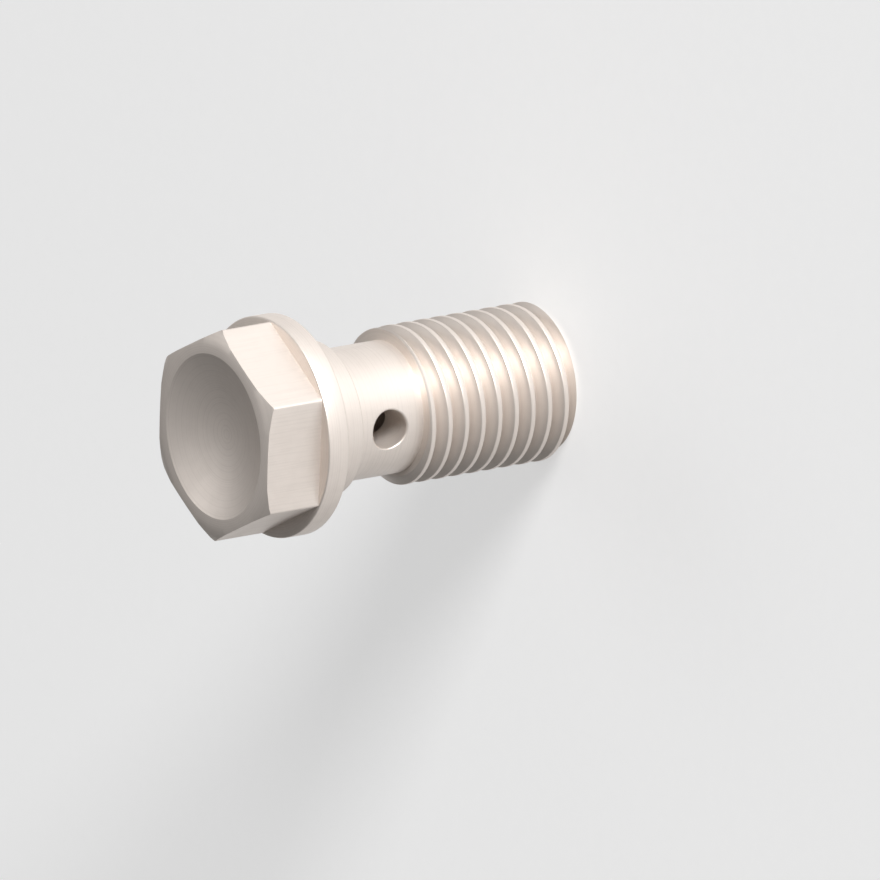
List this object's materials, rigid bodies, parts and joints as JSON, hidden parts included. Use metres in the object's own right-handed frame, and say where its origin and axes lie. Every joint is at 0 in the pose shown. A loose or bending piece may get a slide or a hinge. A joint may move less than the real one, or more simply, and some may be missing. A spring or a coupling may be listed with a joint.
{
  "type": "banjo bolt",
  "caption": "Hollow hexagon-head bolt that carries fluid: flange, collar, cross-drilled neck, metric fine thread and a blind bore from the threaded end.",
  "frame": {"origin": "middle of the flat threaded end, which the bolt stands on", "axes": "+Z along the bolt from the threaded end to the head, +X along the cross hole and square to one hexagon flat, +Y across a pair of hexagon corners"},
  "size_m": [0.014, 0.014, 0.0245],
  "materials": {
    "bright_steel": "turned steel with a pale, satin zinc plating"
  },
  "bodies": {
    "root": {"banjo_bolt": "bright_steel"}
  },
  "joints": []
}
